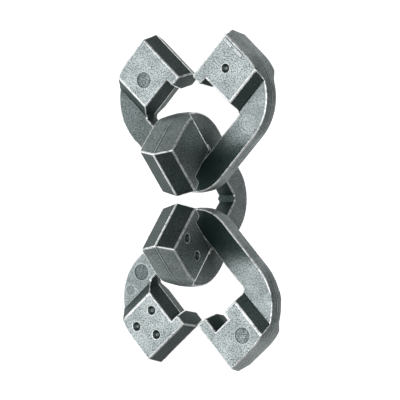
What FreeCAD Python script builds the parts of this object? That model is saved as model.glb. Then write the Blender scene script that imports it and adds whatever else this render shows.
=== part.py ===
import FreeCAD, Part
import math
import os

os.makedirs("parts", exist_ok=True)

# Three cast C-shaped links, hooked through one another like a short chain.
#
# Every link is drawn in its own frame first: X across the link, Y towards its
# gap, Z along its normal, with the origin where the two end faces would meet.
# Two diagonal coordinates follow the 45 degree sides of the diamond:
#   along  (the direction X + Y)    and    across  (the direction Y - X).
# The left half is drawn in them, and the right half is its mirror image.

# ---- driving dimensions, millimetres and degrees -------------------------
BLOCK_THICK = 10.0       # thickness of the two end blocks
ARM_RECESS = 2.45        # how far the arms lie below each flat face
STEP_RUN = 2.6           # length of the sloping step from block to arm
END_FACE_LENGTH = 14.7   # end face, from its inner tip to its outer corner
TIP_SETBACK = 2.9        # distance of each tip from the other block's end plane
TONGUE_LENGTH = 2.4      # how far the tongue stands proud of the inner face
TONGUE_WIDTH = 3.0       # width of the tongue, measured back from the end face
BLOCK_LENGTH = 12.7      # end face to the top of the step
ARM_OUTER = 22.6         # end plane to the outside of the far arm
ARM_INNER = 15.9         # end plane to the inside of the far arm
SIDE_RADIUS = 14.9       # round of the two side corners
FOOT_RADIUS = 10.0       # round of the corner opposite the gap
HOLE_RADIUS = 1.3        # round of the hole's side corners
HOLE_FLAT = 1.8          # small flat across the hole's corner opposite the gap

END_RIDGE = 1.6          # height of the mid-thickness ridge on the end faces
SIDE_RIDGE = 0.3         # height of the parting ridge on the outer sides
BLOCK_RIDGE = 1.1        # height of the ridge on the blocks' inner faces
ARM_RIDGE = 0.3          # height of the ridge on the arms' inner faces

SLOT_LENGTH = 5.4        # the deeper slot beside one tongue of the lower link
SLOT_DEPTH = 2.3

DIMPLE_RADIUS = 1.25     # counting dimples in the flat faces
DIMPLE_FLOOR = 0.45
DIMPLE_DEPTH = 0.7
PIN_MARK_RADIUS = 2.0    # round ejector-pin marks
PIN_MARK_DEPTH = 0.12
PAD_LENGTH = 3.0         # two plain raised pads near one edge
PAD_WIDTH = 0.9
PAD_HEIGHT = 0.15
PAD_INSET = 0.7          # outer side to the pads' long edges
PAD_START = 0.6          # end face to the first pad
PAD_GAP = 0.9            # space between the two pads

# ---- how the chain lies on a table: +Y along the chain, +Z up -------------
# lean is the turn about the chain, pitch the turn about X, spin the turn of
# the link in its own plane. x, y and z are the place of the link's origin.
UPPER_POSE = dict(lean=-37.44, pitch=2.06, spin=1.85, x=-0.69, y=30.07, z=16.61)
MIDDLE_POSE = dict(lean=51.84, pitch=-1.67, spin=89.57, x=-4.61, y=0.37, z=23.56)
LOWER_POSE = dict(lean=-36.37, pitch=1.34, spin=177.34, x=0.71, y=-29.92, z=16.47)

ROOT_TWO = math.sqrt(2.0)
BIG = 80.0               # larger than any link, for cutting tools
CUT_CLEARANCE = 1.0      # how far a cutting tool stands off the face it enters
HALF_THICK = BLOCK_THICK / 2.0
ARM_HALF = HALF_THICK - ARM_RECESS
OUTER_LINE = TIP_SETBACK + END_FACE_LENGTH
INNER_LINE = TIP_SETBACK + TONGUE_LENGTH


def point(along, across, z):
    """Turn the two diagonal coordinates into a point in the link's frame."""
    return FreeCAD.Vector((along - across) / ROOT_TWO, (along + across) / ROOT_TWO, z)


def rounded(before, corner, after, radius, z):
    """The start, middle and end of the arc that rounds a corner."""
    before = FreeCAD.Vector(*before, 0)
    corner = FreeCAD.Vector(*corner, 0)
    after = FreeCAD.Vector(*after, 0)
    back = (before - corner).normalize()
    ahead = (after - corner).normalize()
    half_angle = back.getAngle(ahead) / 2.0
    reach = radius / math.tan(half_angle)
    bisector = (back + ahead).normalize()
    centre = corner + bisector * (radius / math.sin(half_angle))
    ends = [corner + back * reach, centre - bisector * radius, corner + ahead * reach]
    return [(end.x, end.y) for end in ends]


def section(height, end_grow, side_grow, block_grow, arm_grow, slotted):
    """The outline of a link at one height.

    The grow values move the end faces, the outer sides and the blocks' and
    arms' inner faces outwards from the solid, so each face slopes to its ridge.
    The outline is a list of straight runs and arcs, walked from the left
    block's outer corner, round the outside, and back through the hole.
    """
    outer = OUTER_LINE + side_grow
    arm_outer = ARM_OUTER + side_grow
    inner = INNER_LINE - block_grow
    arm_inner = ARM_INNER - arm_grow
    tip = TIP_SETBACK - side_grow
    tongue = -TONGUE_WIDTH - block_grow
    flat = HOLE_FLAT / ROOT_TWO

    walk = [[(end_grow, outer)]]
    walk.append(rounded((0, outer), (-arm_outer, outer), (-arm_outer, 0),
                        SIDE_RADIUS + side_grow, height))
    walk.append(rounded((-arm_outer, 0), (-arm_outer, -arm_outer), (0, -arm_outer),
                        FOOT_RADIUS + side_grow, height))
    walk.append(rounded((0, -arm_outer), (outer, -arm_outer), (outer, 0),
                        SIDE_RADIUS + side_grow, height))
    walk.append([(outer, end_grow)])
    walk.append([(tip, end_grow)])
    walk.append([(tip, tongue)])
    walk.append([(inner, tongue)])
    walk.append(rounded((inner, 0), (inner, -arm_inner), (0, -arm_inner), HOLE_RADIUS, height))
    walk.append([(-arm_inner + flat, -arm_inner)])
    walk.append([(-arm_inner, -arm_inner + flat)])
    walk.append(rounded((-arm_inner, 0), (-arm_inner, inner), (0, inner), HOLE_RADIUS, height))
    if slotted:
        slot_floor = INNER_LINE + SLOT_DEPTH - block_grow
        slot_side = -TONGUE_WIDTH - SLOT_LENGTH + block_grow
        walk.append([(slot_side, inner)])
        walk.append([(slot_side, slot_floor)])
        walk.append([(tongue, slot_floor)])
    else:
        walk.append([(tongue, inner)])
    walk.append([(tongue, tip)])
    walk.append([(end_grow, tip)])

    edges = []
    for index, step in enumerate(walk):
        following = walk[(index + 1) % len(walk)]
        if len(step) == 3:
            start, middle, finish = [point(*pair, height) for pair in step]
            edges.append(Part.Arc(start, middle, finish).toShape())
        leave = point(*step[-1], height)
        arrive = point(*following[0], height)
        edges.append(Part.makeLine(leave, arrive))
    return Part.Wire(edges)


def arm_cutter(side):
    """Everything above (side = 1) or below (side = -1) the arms.

    The cutter ends in the sloping step, once for each block.
    """
    step_top = -BLOCK_LENGTH
    step_foot = -BLOCK_LENGTH - STEP_RUN
    slope = STEP_RUN / ARM_RECESS
    above = HALF_THICK + CUT_CLEARANCE
    step_above = step_top + slope * CUT_CLEARANCE
    profile = [(step_foot, ARM_HALF), (step_above, above), (-BIG, above), (-BIG, ARM_HALF)]
    cutters = []
    for mirrored in (False, True):
        corners = []
        for along, height in profile:
            if mirrored:
                corners.append(point(-BIG, along, side * height))
            else:
                corners.append(point(along, -BIG, side * height))
        face = Part.Face(Part.makePolygon(corners + corners[:1]))
        if mirrored:
            sweep = point(BIG, 0, 0) - point(-BIG, 0, 0)
        else:
            sweep = point(0, BIG, 0) - point(0, -BIG, 0)
        cutters.append(face.extrude(sweep))
    return cutters[0].fuse(cutters[1])


def build_link(slotted=False, dimples=(), block_marks=(), arm_marks=(), pads=False):
    """One link with its marks on the upper flat face, as (x, y) places."""
    low = section(-HALF_THICK, 0.0, 0.0, 0.0, 0.0, slotted)
    middle = section(0.0, END_RIDGE, SIDE_RIDGE, BLOCK_RIDGE, ARM_RIDGE, slotted)
    high = section(HALF_THICK, 0.0, 0.0, 0.0, 0.0, slotted)
    lower_half = Part.makeLoft([low, middle], True, True)
    upper_half = Part.makeLoft([middle, high], True, True)
    body = lower_half.fuse(upper_half).removeSplitter()
    body = body.cut(arm_cutter(1)).cut(arm_cutter(-1))

    for x, y in dimples:
        floor = FreeCAD.Vector(x, y, HALF_THICK - DIMPLE_DEPTH)
        slope = (DIMPLE_RADIUS - DIMPLE_FLOOR) / DIMPLE_DEPTH
        rim = DIMPLE_RADIUS + slope * DIMPLE_DEPTH
        body = body.cut(Part.makeCone(DIMPLE_FLOOR, rim, DIMPLE_DEPTH * 2.0, floor))
    for level, marks in ((HALF_THICK, block_marks), (ARM_HALF, arm_marks)):
        for x, y in marks:
            floor = FreeCAD.Vector(x, y, level - PIN_MARK_DEPTH)
            body = body.cut(Part.makeCylinder(PIN_MARK_RADIUS, PIN_MARK_DEPTH * 2.0, floor))
    if pads:
        for start in (PAD_START, PAD_START + PAD_LENGTH + PAD_GAP):
            corners = []
            for along, across in ((0, 0), (0, PAD_LENGTH), (PAD_WIDTH, PAD_LENGTH), (PAD_WIDTH, 0)):
                corners.append(point(OUTER_LINE - PAD_INSET - along, -start - across,
                                     HALF_THICK - PAD_HEIGHT))
            face = Part.Face(Part.makePolygon(corners + corners[:1]))
            body = body.fuse(face.extrude(FreeCAD.Vector(0, 0, PAD_HEIGHT * 2.0)))
        body = body.removeSplitter()
    return body


def placement(pose):
    """The placement that lays a link in the chain."""
    lean = FreeCAD.Rotation(FreeCAD.Vector(0, 1, 0), pose["lean"])
    pitch = FreeCAD.Rotation(FreeCAD.Vector(1, 0, 0), pose["pitch"])
    spin = FreeCAD.Rotation(FreeCAD.Vector(0, 0, 1), pose["spin"])
    place = FreeCAD.Vector(pose["x"], pose["y"], pose["z"])
    return FreeCAD.Placement(place, lean.multiply(pitch).multiply(spin))


LINKS = {
    "upper_link": (
        build_link(dimples=[(12.0, 3.65)], block_marks=[(-12.8, 1.75)],
                   arm_marks=[(16.5, -10.7)], pads=True),
        UPPER_POSE,
    ),
    "middle_link": (
        build_link(dimples=[(-9.7, 6.2), (-14.3, 1.6)]),
        MIDDLE_POSE,
    ),
    "lower_link": (
        build_link(slotted=True, dimples=[(12.0, -0.6), (16.4, 4.05), (10.3, 5.6)],
                   block_marks=[(-15.3, 3.35)], arm_marks=[(16.9, -10.1)]),
        LOWER_POSE,
    ),
}

placed = {}
for name, (link, pose) in LINKS.items():
    solid = link.Solids[0]
    solid.Placement = placement(pose)
    placed[name] = solid

for name, solid in placed.items():
    solid.exportStep("parts/" + name + ".step")
    print(name, "valid", solid.isValid(), "volume", round(solid.Volume, 1))
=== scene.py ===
import math
from types import SimpleNamespace

import bmesh
import bpy
from mathutils import Matrix, Vector


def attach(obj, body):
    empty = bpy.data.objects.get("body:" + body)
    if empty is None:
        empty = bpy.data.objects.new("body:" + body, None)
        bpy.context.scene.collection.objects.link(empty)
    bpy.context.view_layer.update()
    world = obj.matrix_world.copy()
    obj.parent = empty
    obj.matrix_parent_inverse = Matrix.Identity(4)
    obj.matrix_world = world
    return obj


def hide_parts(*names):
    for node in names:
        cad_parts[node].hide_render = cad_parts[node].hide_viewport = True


MM = 0.001
PER_METRE = 1000.0         # millimetres in a metre
ROOT_HALF = math.sqrt(0.5)

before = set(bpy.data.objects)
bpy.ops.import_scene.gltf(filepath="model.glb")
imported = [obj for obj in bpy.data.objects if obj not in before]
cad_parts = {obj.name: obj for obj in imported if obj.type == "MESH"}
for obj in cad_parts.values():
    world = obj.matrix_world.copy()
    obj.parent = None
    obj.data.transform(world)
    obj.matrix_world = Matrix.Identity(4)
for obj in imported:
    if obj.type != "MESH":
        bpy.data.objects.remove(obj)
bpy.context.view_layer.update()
scene = bpy.context.scene

# ---- lengths in millimetres, angles in degrees ---------------------------
# Places are in a link's own frame. "From the end plane" is measured away from the
# plane of an end face, and is below 0 on the link's side of it.
SEAM_GAP = 0.002           # corners of CAD faces nearer than this are one corner
FLAT_ANGLE = 0.4           # neighbours flatter than this become one face
SHARP_ANGLE = 17.0         # edges that bend more than this are rounded
WELD_GAP = 0.004           # corners of the rounding nearer than this become one

EDGE_ROUND = 0.36          # round of the worn outer edges
EDGE_SEGMENTS = 3
FILLET_ROUND = 0.15        # small fillet where a step meets an arm
RIM_ROUND = 0.09           # rim of the counting dimples
RIDGE_ROUND = 0.12         # the ridges at mid-thickness, apart from an end face's, which
                           # is worn like an outer edge, and a tongue back's, left sharp
STEP_ROUND = 0.2           # the sloping ends of the steps

STEP_TOP = -12.7           # where a step starts and ends, from the end plane
STEP_FOOT = -15.3
ARM_HALF = 2.55            # half the thickness of an arm
END_RIDGE = 1.6            # the ridge of an end face, from the end plane
TONGUE_RIDGE = -4.1        # the ridge on the back of a tongue, from the end plane
LEVEL = 0.1                # an edge this near to one of these places belongs to it

SIDE_CORNER = (13.6, -7.9)  # the hole's round side corner; the other is its mirror image
CORNER_REACH = 1.6
STEEP_ANGLE = 60.0         # within that reach only steeper edges are rounded
FOOT_CORNER = -21.45       # the hole's corner opposite the gap, on the link's own Y
FOOT_REACH = 0.45          # edges shorter than this and as near to it stay sharp

DIMPLE_RADIUS = 1.25
MARK_MARGIN = 0.25         # an edge this near to a mark's rim belongs to it
PAD_LINE = 16.45           # middle of the raised pads, out from the gap's corner
PAD_REACH = 0.6
PAD_LOWEST = 4.8

# Each link's own frame, as the CAD lays it: X across the link, Y towards its gap,
# Z along its normal. lean, pitch and spin turn it about Y, X and Z.
POSES = {
    "upper_link": dict(lean=-37.44, pitch=2.06, spin=1.85, place=(-0.69, 30.07, 16.61)),
    "middle_link": dict(lean=51.84, pitch=-1.67, spin=89.57, place=(-4.61, 0.37, 23.56)),
    "lower_link": dict(lean=-36.37, pitch=1.34, spin=177.34, place=(0.71, -29.92, 16.47)),
}

# Marks in the flat faces, in each link's own frame: x, y and, for pin marks, the
# radius and how dark the ring looks (below 0 it is rubbed lighter than the face).
# The two small rings of the lower link are only in the material.
PIN_MARKS = {
    "upper_link": ((-12.8, 1.75, 2.0, 1.0), (16.5, -10.7, 2.0, -0.9)),
    "middle_link": (),
    "lower_link": (
        (-15.3, 3.35, 2.0, 0.8),
        (16.9, -10.1, 2.0, 1.0),
        (20.1, -5.05, 1.2, 0.5),
        (-21.7, -6.4, 1.3, -0.6),
    ),
}
DIMPLES = {
    "upper_link": ((12.0, 3.65),),
    "middle_link": ((-9.7, 6.2), (-14.3, 1.6)),
    "lower_link": ((12.0, -0.6), (16.4, 4.05), (10.3, 5.6)),
}


def own_frame(name):
    """The link's own frame, in metres."""
    pose = POSES[name]
    turn = Matrix.Rotation(math.radians(pose["lean"]), 4, "Y")
    turn = turn @ Matrix.Rotation(math.radians(pose["pitch"]), 4, "X")
    turn = turn @ Matrix.Rotation(math.radians(pose["spin"]), 4, "Z")
    return Matrix.Translation(Vector(pose["place"]) * MM) @ turn


# ---- the links ------------------------------------------------------------
def merged_mesh(node):
    """A copy of a CAD node's mesh with its faces joined up and its flats made whole."""
    bm = bmesh.new()
    bm.from_mesh(node.data)
    bmesh.ops.remove_doubles(bm, verts=bm.verts, dist=SEAM_GAP * MM)
    bmesh.ops.dissolve_limit(
        bm,
        angle_limit=math.radians(FLAT_ANGLE),
        verts=bm.verts,
        edges=bm.edges,
        use_dissolve_boundaries=False,
    )
    bmesh.ops.recalc_face_normals(bm, faces=bm.faces)
    return bm


def mark_size(name, spot):
    """The rounding of an edge that belongs to a mark in a flat face, or None."""
    for x, y, radius, _ in PIN_MARKS[name]:
        if math.hypot(spot.x - x, spot.y - y) < radius + MARK_MARGIN:
            return 0.0
    for x, y in DIMPLES[name]:
        away = math.hypot(spot.x - x, spot.y - y)
        if away < DIMPLE_RADIUS + MARK_MARGIN:
            return RIM_ROUND if away > DIMPLE_RADIUS - MARK_MARGIN else 0.0
    if name == "upper_link":
        outside = (spot.x + spot.y) * ROOT_HALF
        if abs(outside - PAD_LINE) < PAD_REACH and spot.z > PAD_LOWEST:
            return 0.0
    return None


def in_hole_corner(spot, bend, length):
    """Whether an edge lies where the hole's corners leave no room for rounding."""
    from_side = math.hypot(abs(spot.x) - SIDE_CORNER[0], spot.y - SIDE_CORNER[1])
    if from_side < CORNER_REACH and bend < STEEP_ANGLE:
        return True
    from_foot = math.hypot(spot.x, spot.y - FOOT_CORNER)
    return from_foot < FOOT_REACH and length < FOOT_REACH * MM


def edge_size(name, edge, to_own):
    """How far one edge of a link is rounded: as a worn edge, and as a fillet."""
    if len(edge.link_faces) != 2:
        return 0.0, 0.0
    bend = math.degrees(edge.calc_face_angle())
    if bend < SHARP_ANGLE:
        return 0.0, 0.0
    spot = to_own @ ((edge.verts[0].co + edge.verts[1].co) / 2) / MM
    for_mark = mark_size(name, spot)
    if for_mark is not None:
        return (for_mark, 0.0) if edge.is_convex else (0.0, 0.0)
    if in_hole_corner(spot, bend, edge.calc_length()):
        return 0.0, 0.0
    from_end = min(spot.y + spot.x, spot.y - spot.x) * ROOT_HALF
    if STEP_FOOT + LEVEL < from_end < STEP_TOP - LEVEL and abs(spot.z) > ARM_HALF + LEVEL:
        return STEP_ROUND, 0.0
    if abs(spot.z) < LEVEL:
        if abs(from_end - TONGUE_RIDGE) < LEVEL:
            return 0.0, 0.0
        if abs(from_end - END_RIDGE) > LEVEL:
            return (RIDGE_ROUND, 0.0) if edge.is_convex else (0.0, 0.0)
    if edge.is_convex:
        return EDGE_ROUND, 0.0
    return 0.0, FILLET_ROUND


def build_link(name):
    """The visible link: the CAD shape with its edges rounded by wear."""
    bm = merged_mesh(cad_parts[name])
    worn = bm.edges.layers.float.new("worn_edge")
    soft = bm.edges.layers.float.new("soft_edge")
    to_own = own_frame(name).inverted()
    for edge in bm.edges:
        worn_size, soft_size = edge_size(name, edge, to_own)
        edge[worn] = worn_size / EDGE_ROUND
        edge[soft] = soft_size / EDGE_ROUND
    mesh = bpy.data.meshes.new(name + "_cast")
    bm.to_mesh(mesh)
    bm.free()
    for polygon in mesh.polygons:
        polygon.use_smooth = True
    mesh.set_sharp_from_angle(angle=math.radians(SHARP_ANGLE))
    piece = bpy.data.objects.new(name + "_cast", mesh)
    scene.collection.objects.link(piece)
    for label, weights, slot_index in (("fillets", "soft_edge", 0), ("worn edges", "worn_edge", 1)):
        bevel = piece.modifiers.new(label, "BEVEL")
        bevel.width = EDGE_ROUND * MM
        bevel.segments = EDGE_SEGMENTS
        bevel.limit_method = "WEIGHT"
        bevel.edge_weight = weights
        bevel.use_clamp_overlap = False
        bevel.loop_slide = False
        bevel.miter_outer = "MITER_SHARP"
        bevel.material = slot_index
        bevel.face_strength_mode = "FSTR_ALL"
    weld = piece.modifiers.new("no slivers", "WELD")
    weld.merge_threshold = WELD_GAP * MM
    smooth = piece.modifiers.new("flat faces stay flat", "WEIGHTED_NORMAL")
    smooth.mode = "FACE_AREA"
    smooth.weight = 100
    smooth.keep_sharp = False
    smooth.use_face_influence = True
    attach(piece, name)
    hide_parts(name)
    return piece


# ---- the metal --------------------------------------------------------------
PATINA = (0.022, 0.044, 0.038, 1)       # black antique finish left in the pits
RUBBED = (0.52, 0.57, 0.58, 1)          # nickel where the finish is rubbed away
BRIGHT = (0.95, 0.97, 0.97, 1)          # bare metal on the worn edges
ROUGHNESS = (0.58, 0.42)                # of the finish and of the rubbed nickel

# How much nickel shows, from 0 to 1: partly the antique finish, and partly painted shade that
# darkens the middle link's faces, the ends and the steps.
NICKEL_AND_SHADE = {
    "upper_link": dict(block=0.82, arm=0.78, outer_side=0.62, hole_side=0.24, end=0.34),
    "middle_link": dict(block=0.56, arm=0.66, outer_side=0.64, hole_side=0.22, end=0.28),
    "lower_link": dict(block=0.84, arm=0.82, outer_side=0.62, hole_side=0.24, end=0.34),
}
# The steps, kept dark as painted shade.
STEP_NICKEL_AND_SHADE = 0.26

# Shade painted on the arms' flat faces, as shares of their nickel: the shadow and dark reflection
# of the middle link's blocks, for the left and right arm, and for the foot of one arm, where the
# middle link would be mirrored.
# DARK_SIDE is 1 if that arm is on the side of +X, -1 for -X, and 0 if there is none.
ARM_PAINTED_SHADE = {
    "upper_link": (0.66, 1.0),
    "middle_link": (1.0, 1.0),
    "lower_link": (1.0, 0.9),
}
DARK_SIDE = {"upper_link": 1.0, "middle_link": 0.0, "lower_link": -1.0}
FOOT_PAINTED_SHADE = 0.12
FOOT_FADE = (-20.5, -12.5)              # darkest and plain, along the link's own Y
ARM_MEETING = (-1.0, 1.0)               # from the left arm's tone to the right arm's
DARK_SIDE_FADE = (0.0, 2.0)

# Where the kinds of face begin and end, in millimetres of the link's own frame.
HOLE_CENTRE = -9.0                      # the middle of the link's hole, on its own Y
OUTWARD = (2.0, 7.0)                    # from the hole's sides to the outer sides
BLOCK_LEVEL = (3.2, 4.2)                # from the arms' flats to the blocks' flats
END_FADE = (1.9, 2.6)                   # how far an end face reaches from its plane
TONGUE_BACK = ((-4.6, -4.3), (-2.8, -2.5))
PAD_LEVEL = (5.04, 5.1)                 # above the block faces is only a pad's top

# How far a face looks along the link's normal, or out of the end faces.
FLAT_FACING = (0.85, 0.97)
FRONT_FACING = (0.85, 0.95)             # only the flat faces on the side of the marks
STEP_FACING = ((0.45, 0.6), (0.8, 0.88))
END_FACING = (0.7, 0.85)
TONGUE_FACING = (-0.8, -0.6)

# The ejector marks: a dark ring on the rim, a paler halo round it and the disc.
RIM_FADE = 0.08
RING_FADE = (0.04, 0.2)
HALO_AWAY = 0.3
HALO_FADE = (0.05, 0.25)
RING_DARK, DISC_DARK, HALO_LIGHT = 0.5, 0.24, 0.2

# The parting line round the outer sides, a lighter strip that is partly rubbed nickel and partly a
# painted highlight on its ridge, and the dark seams beside it.
LINE_FADE = (0.09, 0.2)
LINE_CLOUD = (0.35, 0.6)
LINE_RUB_AND_HIGHLIGHT = (0.25, 0.8)
SEAM_AWAY = 0.36
SEAM_FADE = (0.06, 0.2)
SEAM_DARK = 0.6

# The grain: scale per millimetre, detail and roughness of each noise.
COARSE = (2.8, 1.0, 0.6)
FINE = (5.5, 1.0, 0.5)
CLOUD = (0.22, 3.0, 0.5)
RUB = (0.9, 3.0, 0.6)
COARSE_SHARE, FINE_SHARE = 0.6, 0.4
BARE_LEVEL, BARE_GAIN = 0.62, 0.19      # grain above this is bare, lower where nickel shows
SIDE_SPREAD, BLOCK_SPREAD, ARM_SPREAD = 0.26, 0.11, 0.2
PEAK_SPAN = (-1.0, 1.0)
PIT_SHARE = 0.2                         # nickel left in the pits
DARKEST_SHARE = 0.12                    # nickel left on the grain of the darkest faces
CLOUD_SPAN = (0.3, 0.7)
CLOUD_SHARE = (0.8, 1.06)
GRAIN_SHIFT = (13.0, 7.0, 5.0)          # from one link's grain to the next one's

# Ambient occlusion darkens the metal where other faces come near: partly patina in the link's own
# hollows, partly painted shade, also where another link lies close.
PATINA_AND_SHADE_REACH = 9.0                      # how near other faces have to be to shade one
PATINA_AND_SHADE_SAMPLES = 8
PATINA_AND_SHADE_FADE = (0.5, 0.97)
PATINA_AND_SHADE_SHARE = 0.06

PAD_LIGHT = 0.3
RUB_SPAN = (0.34, 0.52)
RUB_SHARE = (0.4, 1.0)                  # of bare metal along the worn edges
RUB_SMOOTHER = 0.04
LINE_HEIGHT = 0.9                       # of the parting line, against the grain's
RELIEF_DEPTH = 0.06
RELIEF, WORN_RELIEF = 0.6, 0.25

FULL = (0.0, 1.0)                       # the whole range of a share


class Nodes:
    """A short way to write a node tree. Values are sockets or plain numbers."""

    def __init__(self, tree):
        self.tree = tree

    def feed(self, socket, value):
        if hasattr(value, "is_output"):
            self.tree.links.new(value, socket)
        else:
            socket.default_value = value

    def add(self, kind, settings=None, **inputs):
        node = self.tree.nodes.new(kind)
        for key, value in (settings or {}).items():
            setattr(node, key, value)
        for key, value in inputs.items():
            self.feed(node.inputs[key], value)
        return node

    def math(self, operation, *values):
        node = self.tree.nodes.new("ShaderNodeMath")
        node.operation = operation
        for socket, value in zip(node.inputs, values):
            self.feed(socket, value)
        return node.outputs[0]

    def times(self, first, *others):
        """The product of all the values."""
        product = first
        for value in others:
            product = self.math("MULTIPLY", product, value)
        return product

    def opposite(self, mask):
        return self.math("SUBTRACT", 1.0, mask)

    def along(self, vector, axis):
        """How far a vector reaches along an axis."""
        node = self.add("ShaderNodeVectorMath", {"operation": "DOT_PRODUCT"})
        self.feed(node.inputs[0], vector)
        self.feed(node.inputs[1], tuple(axis))
        return node.outputs["Value"]

    def ramp(self, value, span, start=0.0, finish=1.0):
        """Carries the span's low and high ends smoothly to start and finish."""
        node = self.tree.nodes.new("ShaderNodeMapRange")
        node.interpolation_type = "SMOOTHSTEP"
        for socket, number in zip(node.inputs, (value, *span, start, finish)):
            self.feed(socket, number)
        return node.outputs["Result"]

    def fall(self, value, span):
        """1 below the span and 0 above it."""
        return self.ramp(value, span, 1.0, 0.0)

    def band(self, value, rise, fall):
        """1 between the two spans and 0 outside them."""
        return self.times(self.ramp(value, rise), self.fall(value, fall))

    def mix(self, share, first, second):
        """A colour between two colours."""
        node = self.tree.nodes.new("ShaderNodeMix")
        node.data_type = "RGBA"
        self.feed(node.inputs["Factor"], share)
        self.feed(node.inputs[6], first)
        self.feed(node.inputs[7], second)
        return node.outputs[2]

    def blend(self, share, first, second):
        """A number between two numbers."""
        node = self.tree.nodes.new("ShaderNodeMix")
        for index, value in ((0, share), (2, first), (3, second)):
            self.feed(node.inputs[index], value)
        return node.outputs[0]

    def noise(self, place, scale, detail, roughness):
        node = self.add("ShaderNodeTexNoise", Vector=place, Scale=scale, Detail=detail,
                        Roughness=roughness)
        return node.outputs["Fac"]


def link_surface(n, link_name):
    """Where a point of the metal lies in the link's own frame, and on what kind of face."""
    axes = own_frame(link_name)
    across_link, towards_gap, normal = [axes.col[i].to_3d() for i in range(3)]
    place = n.add("ShaderNodeTexCoord").outputs["Object"]
    facing = n.add(
        "ShaderNodeVectorTransform",
        {"vector_type": "NORMAL", "convert_from": "WORLD", "convert_to": "OBJECT"},
        Vector=n.add("ShaderNodeNewGeometry").outputs["Normal"],
    ).outputs["Vector"]

    def coordinate(axis):
        """The place along one of the link's own axes, in millimetres."""
        start = axis.dot(axes.translation) * PER_METRE
        return n.math("MULTIPLY_ADD", n.along(place, axis), PER_METRE, -start)

    at = SimpleNamespace()
    at.x, at.y, at.z = coordinate(across_link), coordinate(towards_gap), coordinate(normal)
    at.above = n.math("ABSOLUTE", at.z)
    from_end = n.times(n.math("SUBTRACT", at.y, n.math("ABSOLUTE", at.x)), ROOT_HALF)

    facing_x = n.along(facing, across_link)
    facing_y = n.along(facing, towards_gap)
    facing_z = n.along(facing, normal)
    slope = n.math("ABSOLUTE", facing_z)
    from_centre = n.math("SUBTRACT", at.y, HOLE_CENTRE)
    outward = n.math("ADD", n.times(facing_x, at.x), n.times(facing_y, from_centre))
    sideways = n.times(facing_x, n.math("SIGN", at.x), -ROOT_HALF)
    end_facing = n.math("ADD", n.times(facing_y, ROOT_HALF), sideways)

    at.front = n.ramp(facing_z, FRONT_FACING)
    at.flat = n.ramp(slope, FLAT_FACING)
    at.arms = n.times(at.flat, n.fall(at.above, BLOCK_LEVEL))
    at.outer = n.ramp(outward, OUTWARD)
    at.outer_rim = n.times(at.outer, n.opposite(at.flat))
    at.step = n.band(slope, *STEP_FACING)
    at.ends = n.times(n.fall(n.math("ABSOLUTE", from_end), END_FADE),
                      n.ramp(end_facing, END_FACING))
    # The back of each tongue, where it faces the hole, darkened below as painted shade.
    at.tongue_back = n.times(n.band(from_end, *TONGUE_BACK), n.fall(end_facing, TONGUE_FACING))
    return at


def pin_marks(n, at, link_name):
    """The ejector marks' dark ring, disc and halo."""
    ring, disc, halo = 0.0, 0.0, 0.0
    for mark_x, mark_y, radius, tone in PIN_MARKS[link_name]:
        square_x = n.math("POWER", n.math("SUBTRACT", at.x, mark_x), 2.0)
        square_y = n.math("POWER", n.math("SUBTRACT", at.y, mark_y), 2.0)
        away = n.math("SQRT", n.math("ADD", square_x, square_y))
        inside = n.fall(away, (radius - RIM_FADE, radius + RIM_FADE))
        from_rim = n.math("ABSOLUTE", n.math("SUBTRACT", away, radius))
        from_halo = n.math("ABSOLUTE", n.math("SUBTRACT", away, radius + HALO_AWAY))
        ring = n.math("ADD", ring, n.ramp(from_rim, RING_FADE, tone, 0.0))
        disc = n.math("ADD", disc, n.times(inside, tone))
        halo = n.math("ADD", halo, n.fall(from_halo, HALO_FADE))
    return n.times(ring, at.front), n.times(disc, at.front), n.times(halo, at.front)


def painted_arm_shade(n, at, link_name):
    """The shade painted on the arms by place, for the middle link's shadow and dark reflection: it
    stays in any light or pose.
    """
    left_arm, right_arm = ARM_PAINTED_SHADE[link_name]
    tone = n.ramp(at.x, ARM_MEETING, left_arm, right_arm)
    foot = n.ramp(at.y, FOOT_FADE, FOOT_PAINTED_SHADE, 1.0)
    dark_side = n.ramp(n.times(at.x, DARK_SIDE[link_name]), DARK_SIDE_FADE)
    return n.times(tone, n.blend(dark_side, 1.0, foot))


def nickel_and_shade_cover(n, at, disc, halo, link_name):
    """How much nickel shows on each kind of face, before the grain breaks it up; partly painted
    shade, also on the tongue backs and the arms.
    """
    nickel_and_shade = NICKEL_AND_SHADE[link_name]
    sides = n.ramp(at.outer, FULL, nickel_and_shade["hole_side"], nickel_and_shade["outer_side"])
    sides = n.blend(at.ends, sides, nickel_and_shade["end"])
    flats = n.ramp(at.above, BLOCK_LEVEL, nickel_and_shade["arm"], nickel_and_shade["block"])
    cover = n.blend(at.flat, sides, flats)
    cover = n.blend(at.step, cover, STEP_NICKEL_AND_SHADE)
    # Painted shade: the back of each tongue, where it faces the hole, loses its nickel.
    cover = n.times(cover, n.opposite(at.tongue_back))
    cover = n.math("SUBTRACT", cover, n.times(disc, DISC_DARK))
    cover = n.math("ADD", cover, n.times(halo, HALO_LIGHT))
    return n.times(cover, n.blend(at.arms, 1.0, painted_arm_shade(n, at, link_name)))


def nickel_share(n, at, grain, cloud, cover):
    """How much of each grain is nickel: more is rubbed bare where more nickel shows."""
    bar = n.math("SUBTRACT", BARE_LEVEL, n.times(cover, BARE_GAIN))
    spread = n.blend(at.flat, SIDE_SPREAD, n.blend(at.arms, BLOCK_SPREAD, ARM_SPREAD))
    peaks = n.math("DIVIDE", n.math("SUBTRACT", grain, bar), spread)
    peaks = n.ramp(peaks, PEAK_SPAN, PIT_SHARE, 1.0)
    share = n.times(peaks, n.ramp(cover, FULL, DARKEST_SHARE, 1.0))
    return n.times(share, n.ramp(cloud, CLOUD_SPAN, *CLOUD_SHARE))


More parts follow.
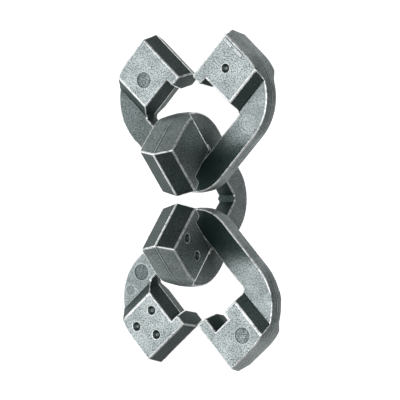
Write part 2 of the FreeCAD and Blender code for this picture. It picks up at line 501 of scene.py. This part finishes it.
def cast_metal(name, link_name, worn_edge, shift):
    """Bead-blasted antique nickel. worn_edge is the strip along the rubbed edges."""
    metal = bpy.data.materials.new(name)
    metal.use_nodes = True
    n = Nodes(metal.node_tree)
    at = link_surface(n, link_name)
    coords = n.add("ShaderNodeCombineXYZ", X=n.math("ADD", at.x, shift[0]),
                   Y=n.math("ADD", at.y, shift[1]), Z=n.math("ADD", at.z, shift[2]))
    place = coords.outputs["Vector"]
    grain = n.math("ADD", n.times(n.noise(place, *COARSE), COARSE_SHARE),
                   n.times(n.noise(place, *FINE), FINE_SHARE))
    cloud = n.noise(place, *CLOUD)

    ring, disc, halo = pin_marks(n, at, link_name)
    cover = nickel_and_shade_cover(n, at, disc, halo, link_name)
    share = nickel_share(n, at, grain, cloud, cover)
    share = n.times(share, n.opposite(n.times(ring, RING_DARK)))
    # Patina in the hollows and painted shade near other faces and links, from ambient occlusion.
    patina_and_shade = n.add("ShaderNodeAmbientOcclusion", {"samples": PATINA_AND_SHADE_SAMPLES},
                   Distance=PATINA_AND_SHADE_REACH * MM)
    share = n.times(share, n.ramp(patina_and_shade.outputs["AO"], PATINA_AND_SHADE_FADE, PATINA_AND_SHADE_SHARE, 1.0))
    from_seam = n.math("ABSOLUTE", n.math("SUBTRACT", at.above, SEAM_AWAY))
    seam = n.times(n.fall(from_seam, SEAM_FADE), at.outer_rim)
    share = n.times(share, n.opposite(n.times(seam, SEAM_DARK)))

    line = n.times(n.fall(at.above, LINE_FADE), at.outer_rim)
    line_rub_and_highlight = n.ramp(cloud, LINE_CLOUD, *LINE_RUB_AND_HIGHLIGHT)
    colour = n.mix(share, PATINA, RUBBED)
    # The parting line: rubbed nickel and a painted highlight along its ridge.
    colour = n.mix(n.times(line, line_rub_and_highlight), colour, RUBBED)
    colour = n.mix(n.times(n.ramp(at.above, PAD_LEVEL), PAD_LIGHT), colour, BRIGHT)
    rough = n.ramp(share, FULL, *ROUGHNESS)
    if worn_edge:
        rub = n.ramp(n.noise(place, *RUB), RUB_SPAN, *RUB_SHARE)
        colour = n.mix(rub, colour, BRIGHT)
        rough = n.math("SUBTRACT", rough, n.times(rub, RUB_SMOOTHER))
    relief = n.math("ADD", grain, n.times(line, LINE_HEIGHT))
    bump = n.add("ShaderNodeBump", Strength=WORN_RELIEF if worn_edge else RELIEF,
                 Distance=RELIEF_DEPTH * MM, Height=relief)

    surface = metal.node_tree.nodes["Principled BSDF"]
    surface.inputs["Metallic"].default_value = 1.0
    n.feed(surface.inputs["Base Color"], colour)
    n.feed(surface.inputs["Roughness"], rough)
    n.feed(surface.inputs["Normal"], bump.outputs["Normal"])
    return metal


for index, link_name in enumerate(POSES):
    link = build_link(link_name)
    shift = [index * step for step in GRAIN_SHIFT]
    link.data.materials.append(cast_metal(link_name + "_metal", link_name, False, shift))
    link.data.materials.append(cast_metal(link_name + "_worn_edge", link_name, True, shift))

# ---- floor ------------------------------------------------------------------
FLOOR_REACH = 3.0
WHITE = (1, 1, 1, 1)
PAPER = (0.5, 0.5, 0.5, 1)
PAPER_ROUGHNESS = 0.9
PAPER_GLOW = 0.93

floor_mesh = bpy.data.meshes.new("floor")
floor_mesh.from_pydata(
    [(x * FLOOR_REACH, y * FLOOR_REACH, 0) for x, y in ((-1, -1), (1, -1), (1, 1), (-1, 1))],
    [],
    [(0, 1, 2, 3)],
)
floor = bpy.data.objects.new("floor", floor_mesh)
scene.collection.objects.link(floor)
paper = bpy.data.materials.new("floor_paper")
paper.use_nodes = True
paper_surface = paper.node_tree.nodes["Principled BSDF"]
paper_surface.inputs["Base Color"].default_value = PAPER
paper_surface.inputs["Roughness"].default_value = PAPER_ROUGHNESS
paper_surface.inputs["Emission Color"].default_value = WHITE
paper_surface.inputs["Emission Strength"].default_value = PAPER_GLOW
floor.data.materials.append(paper)
floor.visible_glossy = False
floor.visible_diffuse = False

# ---- light --------------------------------------------------------------------
# The surroundings glow faintly all round, more from overhead, and most from below
# the horizon, where the white table would be: brighter on the side of -X.
GLOW_ALL_ROUND = 0.07
GLOW_OVERHEAD = 0.12
OVERHEAD_SPAN = (0.1, 0.9)              # height of a direction, from -1 to 1
GLOW_BELOW = 1.35
GLOW_TILT = -0.50                       # the change of the glow below along X
BELOW_SPAN = (-0.6, 0.0)

world = bpy.data.worlds.new("studio")
scene.world = world
world.use_nodes = True
sky = Nodes(world.node_tree)
direction = sky.add("ShaderNodeSeparateXYZ",
                    Vector=sky.add("ShaderNodeTexCoord").outputs["Generated"])
below = sky.fall(direction.outputs["Z"], BELOW_SPAN)
over = sky.ramp(direction.outputs["Z"], OVERHEAD_SPAN)
side = sky.math("MULTIPLY_ADD", direction.outputs["X"], GLOW_TILT, GLOW_BELOW)
glow = sky.math("MULTIPLY_ADD", below, side, GLOW_ALL_ROUND)
glow = sky.math("MULTIPLY_ADD", over, GLOW_OVERHEAD, glow)
background = world.node_tree.nodes["Background"]
sky.feed(background.inputs["Strength"], glow)
background.inputs["Color"].default_value = WHITE

CENTRE = Vector((0, 0, 0.015))


def softbox(name, place, width, height, power):
    """A soft rectangular light that faces the middle of the chain."""
    light = bpy.data.lights.new(name, "AREA")
    light.shape = "RECTANGLE"
    light.size = width
    light.size_y = height
    light.energy = power
    box = bpy.data.objects.new(name, light)
    box.location = place
    box.rotation_euler = (CENTRE - Vector(place)).to_track_quat("-Z", "Y").to_euler()
    scene.collection.objects.link(box)


softbox("key_light", place=(-0.60, 0.0, 0.28), width=0.7, height=0.42, power=1.97)
softbox("top_light", place=(-0.05, 0.0, 0.95), width=0.6, height=0.6, power=5.5)
scene.view_settings.view_transform = "Standard"

# ---- camera -------------------------------------------------------------------
# It stands almost straight above the chain. RIGHT and UP are the picture's directions.
SENSOR = 36.0
FOCAL_SHARE = 5.0025               # focal length as a share of the picture's width
CLIP_NEAR, CLIP_FAR = 0.05, 20
CAMERA_PLACE = Vector((-55.61, 14.21, 533.75)) * MM
CAMERA_RIGHT = Vector((0.99417, 0.00294, 0.10774))
CAMERA_UP = Vector((0.0, 0.99963, -0.02727))

camera_data = bpy.data.cameras.new("camera")
camera_data.sensor_width = SENSOR
camera_data.lens = SENSOR * FOCAL_SHARE
camera_data.clip_start = CLIP_NEAR
camera_data.clip_end = CLIP_FAR
camera = bpy.data.objects.new("camera", camera_data)
back = CAMERA_RIGHT.cross(CAMERA_UP).normalized()
up = back.cross(CAMERA_RIGHT).normalized()
right = up.cross(back)
turn = Matrix((right, up, back)).transposed().to_4x4()
camera.matrix_world = Matrix.Translation(CAMERA_PLACE) @ turn
scene.collection.objects.link(camera)
scene.camera = camera
